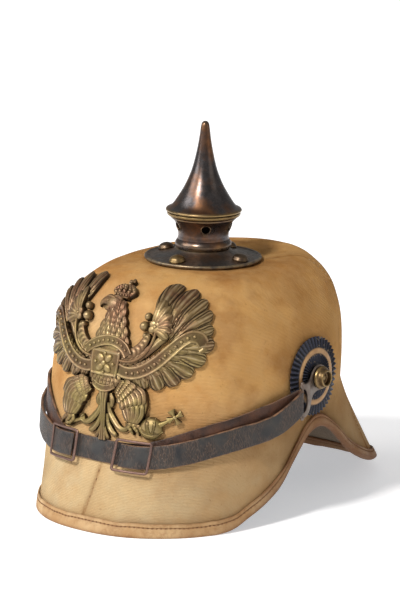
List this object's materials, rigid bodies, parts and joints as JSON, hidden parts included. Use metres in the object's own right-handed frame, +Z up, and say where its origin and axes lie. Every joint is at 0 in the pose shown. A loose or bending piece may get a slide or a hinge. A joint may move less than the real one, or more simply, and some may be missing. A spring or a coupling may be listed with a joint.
{
  "type": "spiked helmet",
  "caption": "Cloth-covered felt helmet with a front peak, neck guard, spike on a studded base plate, pressed eagle plate, fluted cockades and a buckled leather chin strap.",
  "frame": {"origin": "centre of the bounding box on the plane the helmet stands on", "axes": "+Z up along the spike; -Y is the helmet's front, +Y the neck guard, +X the wearer's left"},
  "size_m": [0.1972, 0.2802, 0.25],
  "materials": {
    "cloth": "tan fine-ribbed cotton cover over felt, slightly soiled",
    "binding_leather": "tan-brown stitched leather binding, worn",
    "bronze": "dark patinated bronze, burnished on the high spots",
    "brass": "aged dull brass with brown patina",
    "steel": "dull grey metal",
    "cockade_paint": "blue-black paint with a cream ring on fluted metal, slightly chipped",
    "strap_leather": "blackened leather, cracked, russet at the edges and the inner face",
    "buckle_steel": "brown rusted wire"
  },
  "bodies": {
    "root": {"crown": "cloth", "front_peak": "cloth", "neck_guard": "cloth", "edge_binding": "binding_leather", "base_plate": "bronze", "spike_neck": "bronze", "spike_band": "brass", "spike": "bronze", "plate_stud_front": "brass", "plate_stud_left": "brass", "plate_stud_rear": "brass", "plate_stud_right": "brass", "helmet_plate": "brass", "cockade_left": "cockade_paint", "cockade_right": "cockade_paint", "strap_lug_left": "steel", "strap_lug_right": "steel", "side_nut_left": "brass", "side_nut_right": "brass", "chin_strap": "strap_leather", "buckle_right": "buckle_steel", "buckle_left": "buckle_steel"}
  },
  "joints": []
}
